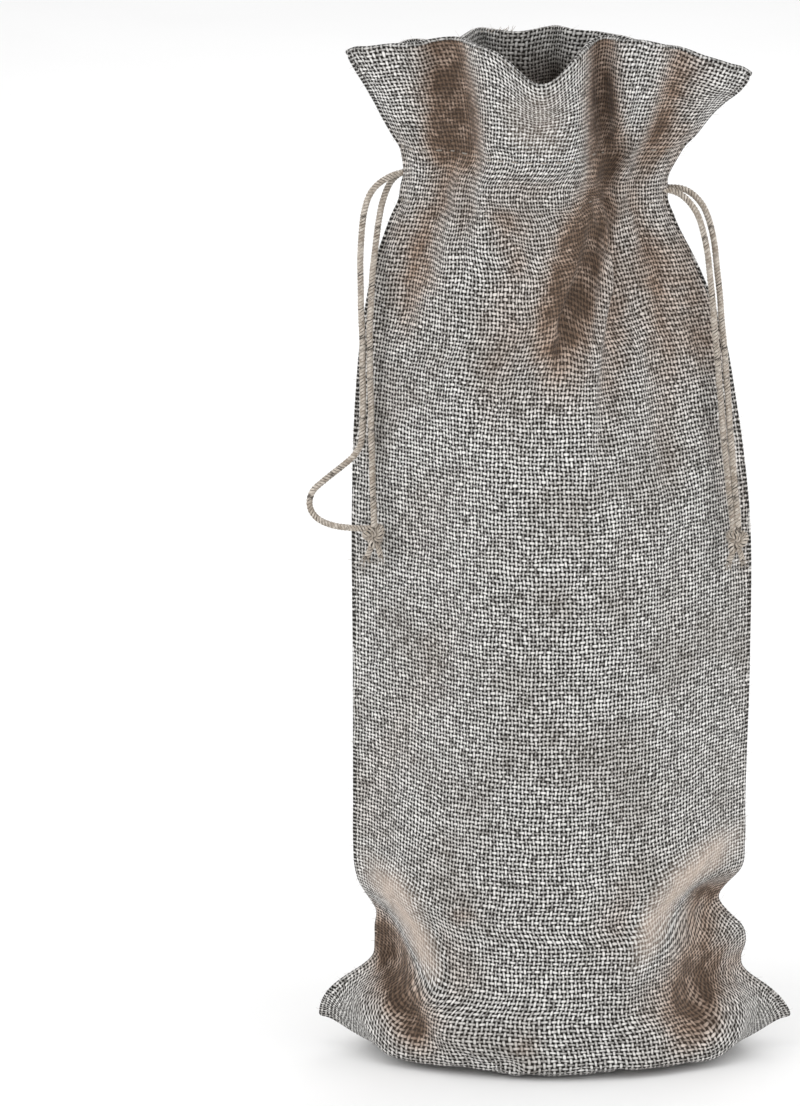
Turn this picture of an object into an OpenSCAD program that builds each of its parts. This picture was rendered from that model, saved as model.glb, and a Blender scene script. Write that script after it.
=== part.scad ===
// Drawstring gift bag for one wine bottle, standing upright and shaped as if round its bottle.
// Millimetres, +Z up, front towards -Y. The origin is the centre of the footprint, on the floor.

/* [Cloth] */
// Thickness of one layer of the woven cloth
cloth_t = 1.2; // [0.8:0.1:1.4]
// Half depth of the bag round the bottle
body_depth = 38; // [34:1:42]
// How far the ears of the bottom corners stand off the floor
ear_rise = 10; // [4:1:14]
// Depth of the folds in the gathered neck, as a share of the drawn one
fold_share = 1; // [0.2:0.1:1]

/* [Casing] */
// Height of the upper drawstring in the casing
upper_string_z = 270.5; // [270:0.5:271]
// Height of the lower drawstring in the casing
lower_string_z = 265.5; // [265:0.5:266]
// Half the gap that is left open in each side seam
slit_half_gap = 2.6; // [2.4:0.1:3]

/* [Drawstrings] */
// Diameter of the twine
twine_d = 2; // [1.4:0.1:2]
// Radius of the overhand knots
knot_r = 3.6; // [3:0.1:4]

/* [Stitching] */
// Distance from one stitch to the next
stitch_pitch = 5; // [4:0.5:8]
// Diameter of the sewing thread
thread_d = 0.6; // [0.4:0.1:0.8]

/* [Hidden] */

cloth_color = "#a39c93";
lining_color = "#857b70";
twine_color = "#9c8a76";
thread_color = "#b3a99c";

// Outline of the standing bag: height, left edge, right edge, share of the body depth.
OUTLINE = [
    [0, -70.5, 71, 0.93],
    [8, -70.5, 71, 1.00],
    [14, -68, 67, 1.00],
    [20, -64, 59.5, 1.00],
    [26, -57, 55.5, 1.00],
    [33, -55, 57, 1.00],
    [40, -54.5, 54.5, 1.00],
    [47, -57, 50, 1.00],
    [55, -60.5, 55, 1.00],
    [66, -61, 57, 1.00],
    [120, -61, 58, 1.00],
    [168, -61.2, 57.5, 1.00],
    [200, -60.2, 53.5, 0.95],
    [222, -58.3, 49.5, 0.85],
    [243, -54.2, 41.2, 0.71],
    [256, -49.8, 34.8, 0.61],
    [264, -46.6, 32.4, 0.57],
    [270, -45.3, 32.4, 0.56],
    [276, -46.6, 36.5, 0.58],
    [286, -52, 44.5, 0.63],
    [298, -56.6, 50.3, 0.67],
    [312, -62.5, 56.5, 0.69]
];
// Folds of each panel: place across it, half width, depth inwards, lowest height.
FRONT_FOLDS = [[-0.43, 0.12, 11, 236], [0.26, 0.10, 11, 232], [0.60, 0.08, 5, 242], [-0.80, 0.07, 1.5, 246]];
BACK_FOLDS = [[-0.62, 0.11, 5, 234], [-0.18, 0.10, 5, 228], [0.28, 0.11, 5, 228], [0.66, 0.09, 4, 236],
    [0, 0.55, 7, 268]];

casing_low = 261;
casing_high = 277;
rim_z = 312;
rows = [0, 3, 7, 12, 17, 22, 27, 32, 37, 42, 47, 54, 64, 84, 108, 132, 156, 174, 188, 200, 212, 223, 233,
    242, 249, 255, 260, 262, 269, 276, 278, 284, 291, 298, 305, 312];
facing_rows = [254, 260, 262, 269, 276, 278, 284, 291, 298, 305, 311.4];
columns = 28;
channel = twine_d + 0.6;

function mix(a, b, t) = a + (b - a) * t;
function clamp01(t) = min(1, max(0, t));
function smooth(t) = clamp01(t) * clamp01(t) * (3 - 2 * clamp01(t));
function spline(a, b, c, d, t) =
    0.5 * (2 * b + (c - a) * t + (2 * a - 5 * b + 4 * c - d) * t * t + (3 * b - a - 3 * c + d) * t * t * t);
function unit(v) = v / norm(v);

// Smooth reading of one column of the outline at height z.
function station(z, k = 0) = k >= len(OUTLINE) - 2 || z <= OUTLINE[k + 1][0] ? k : station(z, k + 1);
function outline(z, col) =
    let (k = station(z), last = len(OUTLINE) - 1)
    let (t = clamp01((z - OUTLINE[k][0]) / (OUTLINE[k + 1][0] - OUTLINE[k][0])))
    spline(OUTLINE[max(0, k - 1)][col], OUTLINE[k][col], OUTLINE[k + 1][col], OUTLINE[min(last, k + 2)][col], t);

// The ears lift off the floor at the two bottom corners.
function ear(u, z) = ear_rise * smooth((abs(u) - 0.70) / 0.30) * clamp01(1 - z / 26);
// The rim droops towards both top corners and dips over the middle of the front.
function droop(u, z, side) =
    smooth((z - 284) / 28) * (-9 * u * u - (u > 0 ? 4 * u : 0) - (side < 0 ? 9 * exp(-pow(u / 0.22, 2)) : 0));
// Half gap of the open slit in the side seams, between the two casing seams.
function slit(z) = z > casing_low && z < casing_high ? slit_half_gap : 0;
function fold(u, z, f) = f[2] * exp(-pow((u - f[0]) / f[1], 2)) * smooth((z - f[3]) / (285 - f[3]));
function folds(u, z, side) =
    let (list = side < 0 ? FRONT_FOLDS : BACK_FOLDS)
    fold_share * ([for (f = list) fold(u, z, f)] * [for (f = list) 1]);

// A point of the wall: u runs from -1 at the left seam to 1 at the right, side is -1 for the front.
function wall(u, z, inset, side) =
    let (left = outline(z, 1) + 1.7 * inset, right = outline(z, 2) - 1.7 * inset)
    let (bulge = pow(max(0, cos(90 * u)), mix(1, 1.35, smooth((z - 200) / 60))))
    let (depth = body_depth * outline(z, 3) - inset - slit(z) - folds(u, z, side))
    [mix(left, right, (u + 1) / 2), side * (slit(z) + depth * bulge), z + ear(u, z) + droop(u, z, side)];

// The seam under the bag, where the wall turns in below the bottle and meets the other panel.
function under(u, inset, side) =
    let (p = wall(u, 0, inset, side))
    [p[0] + 0.5 * u, 0, ear(u, 0) + inset];

function across(n) = [for (i = [0 : n]) -1 + 2 * i / n];
function wall_row(z, inset, side) = [for (u = across(columns)) wall(u, z, inset, side)];
function floor_row(inset, side) =
    [for (u = across(columns)) let (p = wall(u, 0, inset, side)) [p[0], p[1], p[2] + inset]];
function panel_grid(inset, side) =
    [[for (u = across(columns)) under(u, inset, side)], floor_row(inset, side),
        for (k = [1 : len(rows) - 1]) wall_row(rows[k], inset, side)];
// The facing swings inwards between the casing seams, and so leaves room for the strings.
function facing_inset(z, layer) =
    cloth_t + 0.15 + (z > casing_low && z < casing_high ? channel : 0) + layer * cloth_t;
function facing_grid(layer, side) =
    [for (z = facing_rows) wall_row(z, facing_inset(z, layer), side)];

// A closed sheet between two grids of points with the same number of rows and columns.
module sheet(outer, inner, flip = false) {
    m = len(outer);
    n = len(outer[0]);
    flat = [for (r = outer) each r, for (r = inner) each r];
    base = m * n;
    skin = [for (j = [0 : m - 2]) for (i = [0 : n - 2])
        each [[j * n + i, j * n + i + 1, (j + 1) * n + i + 1], [j * n + i, (j + 1) * n + i + 1, (j + 1) * n + i]]];
    edge = [
        for (i = [0 : n - 2]) [i, i + 1],
        for (j = [0 : m - 2]) [j * n + n - 1, (j + 1) * n + n - 1],
        for (i = [n - 1 : -1 : 1]) [(m - 1) * n + i, (m - 1) * n + i - 1],
        for (j = [m - 1 : -1 : 1]) [j * n, (j - 1) * n]
    ];
    back = [for (f = skin) [f[2] + base, f[1] + base, f[0] + base]];
    rimmed = [for (e = edge) each [[e[1], e[0], e[0] + base], [e[1], e[0] + base, e[1] + base]]];
    all = concat(skin, back, rimmed);
    polyhedron(flat, flip ? all : [for (f = all) [f[2], f[1], f[0]]]);
}

// A round cord along points: eight sides, with the frame kept square to the given direction.
module cord(points, d, square_to) {
    m = len(points);
    sides = 8;
    tangent = [for (k = [0 : m - 1]) unit(points[min(m - 1, k + 1)] - points[max(0, k - 1)])];
    ring = [for (k = [0 : m - 1])
        let (a = unit(cross(tangent[k], square_to)), b = cross(tangent[k], a))
        each [for (i = [0 : sides - 1]) points[k] + d / 2 * (a * cos(45 * i) + b * sin(45 * i))]];
    tube = [for (k = [0 : m - 2]) for (i = [0 : sides - 1])
        [k * sides + i, (k + 1) * sides + i, (k + 1) * sides + (i + 1) % sides, k * sides + (i + 1) % sides]];
    ends = [[for (i = [0 : sides - 1]) i], [for (i = [sides - 1 : -1 : 0]) (m - 1) * sides + i]];
    polyhedron(ring, concat(tube, ends));
}

// Points along a smooth curve through a route, a few steps between each two of its points.
function along(route, steps) = [
    for (k = [0 : len(route) - 2]) for (s = [0 : steps - 1])
        spline(route[max(0, k - 1)], route[k], route[k + 1], route[min(len(route) - 1, k + 2)], s / steps),
    route[len(route) - 1]
];

module panel(side) {
    color(cloth_color) sheet(panel_grid(0, side), panel_grid(cloth_t, side));
}

module facing(side) {
    color(lining_color) sheet(facing_grid(0, side), facing_grid(1, side), side > 0);
}

// The turned-in edges of both panels along one side seam.
module side_allowance(side) {
    heights = [18, 24, 33, 42, 50, 64, 90, 120, 150, 180, 200, 220, 240, 252];
    col = side < 0 ? 1 : 2;
    outer = [for (z = heights) [for (x = [2.6, 10]) [outline(z, col) - side * x, -0.8, z + ear(1, z)]]];
    inner = [for (r = outer) [for (p = r) [p[0], 0.8, p[2]]]];
    color(lining_color) sheet(outer, inner, side < 0);
}

// The turned-in edges along the bottom seam, laid towards the back.
function bottom_edge(x, y, z) =
    let (u = x / 71)
    [x, y, z + ear(u, 0)];
bottom_xs = [-54, -50, -40, -20, 0, 20, 40, 50, 54];
function bottom_depth(x) = abs(x) > 52 ? 5 : 8;
module bottom_allowance() {
    low = cloth_t + 0.4;
    outer = [for (x = bottom_xs) [bottom_edge(x, 0.2, low), bottom_edge(x, bottom_depth(x), low)]];
    inner = [for (r = outer) [for (p = r) [p[0], p[1], p[2] + 1.5]]];
    color(lining_color) sheet(outer, inner, true);
}

// One stitch lies from a to b.
module stitch(a, b) {
    run = b - a;
    translate(a)
        rotate([0, acos(run[2] / norm(run)), atan2(run[1], run[0])])
            cylinder(h = norm(run), d = thread_d, $fn = 16);
}

// Stitches down one side seam, through its turned-in edges.
module side_stitches(side) {
    col = side < 0 ? 1 : 2;
    count = floor((250 - 22) / stitch_pitch);
    color(thread_color)
        for (k = [0 : count]) {
            z = 22 + k * stitch_pitch;
            x = outline(z, col) - side * 4.2;
            stitch([x, -1.1, z + ear(1, z)], [x, 1.1, z + ear(1, z)]);
        }
}

module bottom_stitches() {
    count = floor(100 / stitch_pitch);
    color(thread_color)
        for (k = [0 : count]) {
            x = -50 + k * stitch_pitch;
            p = bottom_edge(x, 2, cloth_t + 0.1);
            stitch(p, p + [0, 0, 2.1]);
        }
}

// A row of stitches round one panel at the height of a casing seam, on the outside.
module casing_stitches(side, z) {
    count = floor(88 / stitch_pitch);
    color(thread_color)
        for (k = [0 : count]) {
            u = -0.88 + 1.76 * k / count;
            stitch(wall(u, z, 0.05, side), wall(u + 0.6 / count, z, 0.05, side));
        }
}

// Bar tacks that close the side seam just above and below the slit.
module slit_tacks(side) {
    col = side < 0 ? 1 : 2;
    color(thread_color)
        for (z = [casing_low - 2.5, casing_high + 2.5]) {
            x = outline(z, col) - side * 2.2;
            translate([x, 0, z])
                rotate([90, 0, 0])
                    cylinder(h = 5, d = 1.2, center = true, $fn = 24);
        }
}

// The run of one string in the casing: in at one side, round the far side and back.
function casing_point(u, z, side) = wall(u, z, cloth_t + 0.15 + channel / 2, side);
module casing_run(open_side, z) {
    near = 0.78;
    stops = [for (k = [0 : 14]) mix(near, -0.86, k / 14) * open_side];
    front = [for (u = stops) casing_point(u, z, -1)];
    rear = [for (k = [14 : -1 : 0]) casing_point(stops[k], z, 1)];
    turn = wall(-open_side, z, cloth_t + channel / 2, 1);
    color(twine_color) cord(concat(front, [[turn[0], 0, turn[2]]], rear), twine_d, [0, 0, 1]);
}

// Routes of the free ends of the strings, from inside the slit to the knot.
LEFT_FRONT = [
    [-26, -1.3, 270.5], [-36, -1.3, 270.5], [-45.5, -1.3, 270.5], [-51, -2, 268.8], [-55.2, -3, 265.2],
    [-57.4, -4, 259], [-58.4, -5, 250], [-58.5, -6.5, 236], [-58, -7.5, 220], [-57.9, -8, 204],
    [-58.1, -9, 192], [-60, -10, 187], [-64, -11, 183.3], [-69, -12, 179.6], [-72.8, -12.5, 176],
    [-73.6, -13, 171.6], [-71.4, -13.5, 168], [-67, -14, 166], [-61, -14, 165.2], [-55, -14, 165]
];
LEFT_BACK = [
    [-26, 1.3, 270.5], [-36, 1.3, 270.5], [-44.5, 1.3, 270.5], [-49, 0.5, 268], [-51.6, -1, 263],
    [-53, -2.5, 256.5], [-54.2, -4.5, 248], [-55.2, -6.5, 237], [-55.8, -8, 221], [-55.5, -9, 204],
    [-55.2, -10.5, 188], [-54.8, -12.5, 174], [-54.5, -14, 165]
];
RIGHT_FRONT = [
    [13, -1.3, 265.5], [23, -1.3, 265.5], [31, -1.3, 265.5], [35.8, -2.2, 264.4], [39.6, -3, 261],
    [42.2, -4, 256.4], [44, -5.5, 249], [45.3, -7, 239], [46.4, -8.5, 227], [47.8, -9.5, 211],
    [49.3, -11, 193], [51.2, -12.5, 175], [52.4, -14, 164]
];
RIGHT_BACK = [
    [13, 1.3, 265.5], [23, 1.3, 265.5], [31.5, 1.3, 265.5], [37, 0.6, 265.2], [41.2, -0.4, 262.6],
    [44.2, -1.6, 258.2], [46.2, -3, 250.5], [47.5, -5, 240], [48.7, -7, 227], [50.1, -8.6, 211],
    [51.4, -10.6, 193], [53, -12.5, 175], [54, -14, 164]
];

module tail(route) {
    color(twine_color) cord(along(route, 2), twine_d, [0, 1, 0]);
}

// An overhand knot in both ends together, with the two short cut ends below it.
module knot(at, lean) {
    color(twine_color)
        translate(at) {
            sphere(r = knot_r, $fn = 32);
            rotate([0, 90 + lean, 20])
                rotate_extrude($fn = 40)
                    translate([2.6, 0])
                        circle(r = 1.6, $fn = 20);
            rotate([12, 180 + lean, 0])
                cylinder(h = 10, r = 0.8, $fn = 20);
            rotate([-10, 170 - lean, 0])
                cylinder(h = 8.5, r = 0.8, $fn = 20);
        }
}

module front_panel() { panel(-1); }
module back_panel() { panel(1); }
module front_facing() { facing(-1); }
module back_facing() { facing(1); }
module left_seam_allowance() { side_allowance(-1); }
module right_seam_allowance() { side_allowance(1); }
module bottom_seam_allowance() { bottom_allowance(); }
module left_seam_stitching() { side_stitches(-1); }
module right_seam_stitching() { side_stitches(1); }
module bottom_seam_stitching() { bottom_stitches(); }
module front_casing_upper_stitching() { casing_stitches(-1, casing_high + 1); }
module front_casing_lower_stitching() { casing_stitches(-1, casing_low - 1); }
module back_casing_upper_stitching() { casing_stitches(1, casing_high + 1); }
module back_casing_lower_stitching() { casing_stitches(1, casing_low - 1); }
module left_slit_tacks() { slit_tacks(-1); }
module right_slit_tacks() { slit_tacks(1); }
module left_drawstring_loop() { casing_run(-1, upper_string_z); }
module right_drawstring_loop() { casing_run(1, lower_string_z); }
module left_front_tail() { tail(LEFT_FRONT); }
module left_back_tail() { tail(LEFT_BACK); }
module left_knot() { knot([-54.5, -14, 163], 12); }
module right_front_tail() { tail(RIGHT_FRONT); }
module right_back_tail() { tail(RIGHT_BACK); }
module right_knot() { knot([53.2, -14, 161.5], -10); }

front_panel();
back_panel();
front_facing();
back_facing();
left_seam_allowance();
right_seam_allowance();
bottom_seam_allowance();
left_seam_stitching();
right_seam_stitching();
bottom_seam_stitching();
front_casing_upper_stitching();
front_casing_lower_stitching();
back_casing_upper_stitching();
back_casing_lower_stitching();
left_slit_tacks();
right_slit_tacks();
left_drawstring_loop();
right_drawstring_loop();
left_front_tail();
left_back_tail();
left_knot();
right_front_tail();
right_back_tail();
right_knot();
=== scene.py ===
"""Drawstring gift bag for a wine bottle: cloth, strings, seams, materials and stage."""

import math

import bpy
import numpy as np
from bpy.props import FloatProperty, FloatVectorProperty, PointerProperty
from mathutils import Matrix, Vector


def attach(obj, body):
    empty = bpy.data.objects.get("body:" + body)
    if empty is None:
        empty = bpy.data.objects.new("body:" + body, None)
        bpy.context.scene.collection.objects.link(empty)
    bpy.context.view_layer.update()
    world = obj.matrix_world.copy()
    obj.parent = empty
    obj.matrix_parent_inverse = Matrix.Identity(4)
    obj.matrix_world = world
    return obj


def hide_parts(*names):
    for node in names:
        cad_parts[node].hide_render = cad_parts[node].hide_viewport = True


bl_info = {
    "name": "Wine gift bag",
    "version": (1, 0, 0),
    "blender": (4, 5, 0),
    "location": "3D View > Sidebar > Gift bag",
    "description": "Builds a gathered cloth bag for a wine bottle, with its strings and seams",
    "category": "Add Mesh",
}

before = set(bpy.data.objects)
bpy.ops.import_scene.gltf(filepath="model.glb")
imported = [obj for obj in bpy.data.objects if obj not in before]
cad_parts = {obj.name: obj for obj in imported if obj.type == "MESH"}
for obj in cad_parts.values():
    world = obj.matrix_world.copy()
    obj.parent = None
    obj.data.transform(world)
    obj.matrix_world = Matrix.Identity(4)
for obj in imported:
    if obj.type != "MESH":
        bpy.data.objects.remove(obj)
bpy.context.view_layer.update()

# Lengths in the shape code are in millimetres, and MM turns them into metres.
MM = 0.001
COLUMNS, ROWS = 60, 140  # divisions of each panel's grid, across and up
UNDER = 35.0  # cut height of the cloth that lies under the standing bag
BAG_TOP = 312.0
BODY_DEPTH = 38.5  # from the plane of the side seams to the front of the body
LEAST_DEPTH = 4.5  # of the header, so that its facings have room
FLOOR_GAP = 0.1
CASING_LOW, CASING_HIGH = 261.0, 277.0
FRONT, BACK = -1, 1  # the sign of Y on each panel's outer side
SIDE_NAMES = {FRONT: "front", BACK: "back"}

# Outline of the standing bag in millimetres: height, left edge, right edge, share of the body depth.
OUTLINE = np.array([
    [0, -71, 71.5, 0.95], [6, -71.8, 72, 0.99], [11, -71.5, 71.4, 1.0], [14, -70.9, 69.8, 1.0],
    [17, -69.4, 67.2, 1.0], [20, -66.6, 63.6, 1.0], [22.5, -63.2, 59.8, 1.0], [25, -59.2, 56.8, 1.0],
    [28, -55.5, 56, 1.0], [33, -54.5, 57.5, 1.0], [38, -54.5, 56.5, 1.0], [43, -54, 51.5, 1.0],
    [47, -56.5, 49, 1.0], [51, -59, 51.5, 1.0], [55, -60.3, 55.5, 1.0], [64, -61, 57, 1.0],
    [76, -61, 57, 1.0], [120, -61, 58, 1.0], [168, -61.2, 57.5, 1.0], [200, -60.2, 53.5, 0.95],
    [222, -58.3, 49.5, 0.85], [243, -54.2, 41.2, 0.71], [256, -49.8, 34.8, 0.61], [264, -46.8, 32.5, 0.57],
    [270, -45.3, 32.4, 0.56], [275, -46.4, 36.0, 0.58], [280, -48.8, 40.3, 0.60], [286, -52.0, 44.6, 0.63],
    [293, -54.8, 48.4, 0.66], [300, -57.4, 51.2, 0.68], [306, -60.0, 54.2, 0.69], [312, -62.8, 57.2, 0.70],
])

# Creases of each panel: path of (x, z) in millimetres, width, depth inwards (ridges are negative).
FRONT_CREASES = [
    ([(-33, 264), (-32, 278), (-31, 292), (-33, 310), (-34, 340)], 6.6, 15.0),
    ([(15, 262), (13.5, 278), (12.5, 295), (12, 340)], 4.6, 14.0),
    ([(24, 262), (28, 279), (34, 298), (42, 340)], 3.8, 8.5),
    ([(14, 276), (9, 258), (4.5, 245), (0, 231), (-4, 212)], 6.0, 12.5),
    ([(21, 262), (17, 248), (12, 228), (8, 203)], 3.2, -3.4),
    ([(-22, 271), (-6, 269.5), (10, 272.5)], 2.2, 2.6),
    ([(-38, 268), (-42, 245), (-46, 215)], 3.4, 3.5),
    ([(-22, 263), (-12, 258.5), (-4, 261)], 2.8, 3.2),
    ([(-20, 260), (-12, 249), (-13, 238)], 4.0, 3.6),
    ([(22, 266), (28, 240), (34, 205)], 4.2, 4.2),
    ([(30, 262), (40, 236), (46, 205)], 3.2, 2.4),
    ([(-62, 44), (-53, 40), (-47, 24), (-40, 8), (-37, 1)], 4.6, 9.0),
    ([(-62, 62), (-46, 52), (-39, 36), (-33, 12)], 4.6, -3.6),
    ([(60, 49), (50, 49), (37, 53)], 2.6, 6.0),
    ([(49, 50), (43, 36), (41, 18), (40, 1)], 7.5, 7.5),
    ([(60, 70), (34, 59), (25, 42), (17, 14)], 4.8, -3.8),
    ([(57, 32), (50, 18), (44, 2)], 3.6, -2.4),
    ([(-28, 120), (-33, 95), (-30, 70)], 9.0, 1.2),
    ([(20, 150), (26, 120), (24, 90)], 9.0, 1.0),
]
BACK_CREASES = [
    ([(-24, 262), (-28, 285), (-34, 335)], 4.5, 7.0),
    ([(-8, 250), (-8, 280), (-9, 335)], 5.0, 7.0),
    ([(10, 240), (13, 275), (18, 335)], 5.0, 8.0),
    ([(26, 262), (30, 285), (37, 335)], 3.6, 4.5),
    ([(-20, 268), (-26, 240), (-30, 212)], 4.0, 5.0),
    ([(0, 268), (2, 240), (0, 214)], 4.5, 5.5),
    ([(18, 268), (24, 240), (30, 208)], 4.0, 4.0),
    ([(0, 290), (0, 312), (0, 340)], 30.0, 8.0),
    ([(-60, 43), (-48, 34), (-42, 20), (-36, 1)], 4.8, 7.5),
    ([(58, 48), (46, 38), (38, 20), (32, 1)], 4.8, 7.5),
    ([(-60, 66), (-36, 54), (-26, 22)], 5.0, -3.0),
    ([(58, 68), (36, 54), (26, 20)], 5.0, -3.0),
]
CREASES = {FRONT: FRONT_CREASES, BACK: BACK_CREASES}

# Places where painted shade and painted highlight go on the front cloth: path of (x, z), width, and how much
# painted shade browns it (or painted highlight pales it, if negative).
FRONT_PAINTED_SHADE_AND_HIGHLIGHT = [
    ([(12, 268), (5, 248), (0, 228), (-4, 210)], 8.0, 0.62),
    ([(-37, 308), (-34, 294), (-31, 282), (-35, 270)], 8.5, 0.40),
    ([(-31, 292), (-30, 285), (-31, 278)], 4.5, 0.45),
    ([(13, 306), (13, 292), (14, 278)], 6.0, 0.30),
    ([(40, 288), (34, 281), (27, 275)], 5.0, 0.35),
    ([(27, 258), (38, 236), (50, 205)], 11.0, 0.38),
    ([(-46, 262), (-43, 246), (-40, 232)], 7.0, 0.30),
    ([(42, 40), (40, 26), (34, 10)], 12.0, 0.40),
    ([(-52, 40), (-46, 24), (-36, 8)], 9.0, 0.42),
    ([(-57, 62), (-48, 51), (-42, 40), (-36, 24)], 5.0, -1.1),
    ([(57, 70), (40, 60), (30, 48), (25, 34)], 5.0, -1.1),
    ([(-29, 53), (-27, 47)], 3.5, 0.35),
    ([(-10, 14), (-9, 8)], 3.5, 0.35),
    ([(-6, 278), (-6, 302)], 9.0, -0.22),
]


def cut_width():
    """Width of a panel laid flat."""
    return round(sizes().cut_width / MM, 3)


def cut_height():
    """Height of a panel laid flat."""
    return round(sizes().cut_height / MM, 3)


def smooth(x):
    """From 0 to 1 with soft ends as x goes from 0 to 1."""
    x = np.clip(x, 0.0, 1.0)
    return x * x * (3.0 - 2.0 * x)


def outline(z, column):
    """One column of the outline at the heights z, read through a smooth curve."""
    z = np.asarray(z, float)
    knots = OUTLINE[:, 0]
    values = OUTLINE[:, column]
    slopes = np.gradient(values, knots)
    k = np.clip(np.searchsorted(knots, z) - 1, 0, len(knots) - 2)
    run = knots[k + 1] - knots[k]
    s = np.clip((z - knots[k]) / run, 0.0, 1.0)
    a = 2 * s**3 - 3 * s**2 + 1
    b = s**3 - 2 * s**2 + s
    c = -2 * s**3 + 3 * s**2
    d = s**3 - s**2
    return a * values[k] + b * run * slopes[k] + c * values[k + 1] + d * run * slopes[k + 1]


def crease_depth(x, z, creases):
    """How far inwards the creases press the cloth at the points (x, z)."""
    total = np.zeros_like(x)
    for path, width, depth in creases:
        points = np.array(path, float)
        travel = travelled(points)
        ends = travel / travel[-1]
        nearest = np.full_like(x, 1e9)
        along = np.zeros_like(x)
        for k, (a, b) in enumerate(zip(points[:-1], points[1:])):
            run = b - a
            s = np.clip(((x - a[0]) * run[0] + (z - a[1]) * run[1]) / (run @ run), 0.0, 1.0)
            gap = np.hypot(x - a[0] - s * run[0], z - a[1] - s * run[1])
            closer = gap < nearest
            nearest = np.where(closer, gap, nearest)
            along = np.where(closer, ends[k] + s * (ends[k + 1] - ends[k]), along)
        fade = smooth(along / 0.3) * smooth((1.0 - along) / 0.3)
        total += depth * (0.15 + 0.85 * fade) * np.exp(-((nearest / width) ** 2))
    return total


def travelled(path):
    """Distance along a path to each of its points."""
    return np.concatenate([[0.0], np.cumsum(np.linalg.norm(np.diff(path, axis=0), axis=1))])


def read_along(values, travel, at):
    """The three values of each point, read at the distances at."""
    return np.stack([np.interp(at, travel, values[:, c]) for c in range(3)], axis=1)


def respaced(path, spacing):
    """The same path with points at about the given spacing."""
    travel = travelled(path)
    count = max(3, int(round(travel[-1] / spacing)) + 1)
    return read_along(path, travel, np.linspace(0.0, travel[-1], count))


def flat_height(z):
    """The cut height of the cloth that stands at height z in the middle of a panel."""
    return UNDER + z * (cut_height() - UNDER) / BAG_TOP


def standing_height(t):
    """The height at which the middle of a panel's cloth stands, from its cut height t."""
    return max(0.0, t - UNDER) * BAG_TOP / (cut_height() - UNDER)


def row_heights():
    """The cut height of each row of a panel's grid."""
    return [cut_height() * j / ROWS for j in range(ROWS + 1)]


def row_curve(t, side):
    """The cloth's row at the cut height t as it stands, evenly spaced from seam to seam, and its length.

    The middle of the row lies level, and its ends rise into the ears where the seams are drawn up."""
    p = np.linspace(-1.0, 1.0, 481)
    from_seam = 1.0 - np.abs(p)
    clear = float(np.interp(t, [0, 35, 90], [0.74, 0.66, 0.45]))
    reach = smooth((np.abs(p) - clear) / (1.0 - clear))
    middle = standing_height(t)
    edge = np.interp(t, [0, 20, 40, 60, 80, 100, 140, 200, cut_height()],
                     [10, 20, 31, 43, 56, 72, 107, 165, BAG_TOP])
    z = middle + (edge - middle) * reach
    left, right = outline(z, 1), outline(z, 2)
    x = left + (right - left) * (p + 1.0) / 2.0
    round_share = smooth((z - 30.0) / 60.0)
    bulge = np.maximum(0.0, np.cos(math.pi / 2 * p)) ** (1.0 + 0.35 * smooth((z - 200.0) / 60.0))
    bulge = bulge * round_share + (1.0 - np.abs(p) ** 2.3) * (1.0 - round_share)
    depth = BODY_DEPTH * outline(z, 3) * bulge * min(1.0, t / UNDER)
    press = crease_depth(x, z, CREASES[side]) * smooth(t / UNDER)
    press *= smooth((z + 1.0) / 14.0) * smooth(from_seam / 0.15)
    header_pleat, flat_middle = (1.3, 0.30) if side == FRONT else (4.2, 0.0)
    pleats = 2.1 * np.cos(p * 31.0 + side) * smooth((z - 225.0) / 35.0) * smooth((308.0 - z) / 30.0)
    pleats += header_pleat * np.cos(p * 19.0 + 0.4 * side) * smooth((z - 274.0) / 14.0)
    pleats *= smooth((np.abs(p) - flat_middle) / 0.15) * smooth(from_seam / 0.12)
    least = LEAST_DEPTH * smooth(from_seam / 0.10) * smooth((z - 200.0) / 50.0)
    soft = 0.05 + 1.15 * smooth(from_seam / 0.12)
    depth = least + soft * np.logaddexp(0.0, (depth - press + pleats - least) / soft)
    top = smooth((z - 284.0) / 28.0)
    droop = -np.where(p > 0, 12.0, 5.5) * p**2
    if side == FRONT:
        droop += 2.8 * np.exp(-(((p - 0.42) / 0.20) ** 2)) - 11.5 * np.exp(-(((p + 0.04) / 0.17) ** 2))
    else:
        droop -= 2.2 + 0.8 * np.sin(math.pi * np.abs(p))
    points = np.stack([x, side * depth, z + 0.6 + top * droop], axis=1)
    travel = travelled(points)
    return read_along(points, travel, np.linspace(0.0, travel[-1], COLUMNS + 1)), travel[-1]


def drawn_panels():
    """Both panels as they would stand without wrinkles, and the width of each row along the cloth."""
    panels, widths = [], []
    for side in (FRONT, BACK):
        rows = [row_curve(t, side) for t in row_heights()]
        panels.append(np.array([r[0] for r in rows]))
        widths.append(np.array([r[1] for r in rows]))
    seam = (panels[0] + panels[1]) / 2
    for panel in panels:
        panel[:, 0] = seam[:, 0]
        panel[:, -1] = seam[:, -1]
        panel[0] = seam[0]
    return panels, widths


# ---------------------------------------------------------------- settling the cloth

HOLD_CASING = 1.0
HOLD_HEADER = 0.45
HOLD_SEAM = 0.75
HOLD_FOOT = 0.45
SETTLE_FRAMES = 22
# Radius and height up the bottle that the cloth settles round, which is taken away again.
BOTTLE = [
    (0, 1.2), (30, 1.2), (35, 4), (36, 12), (36.2, 175), (35, 188), (30, 203), (21, 220), (15.5, 234),
    (14, 245), (14, 296), (0, 298),
]
BOTTLE_X = -0.002


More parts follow.
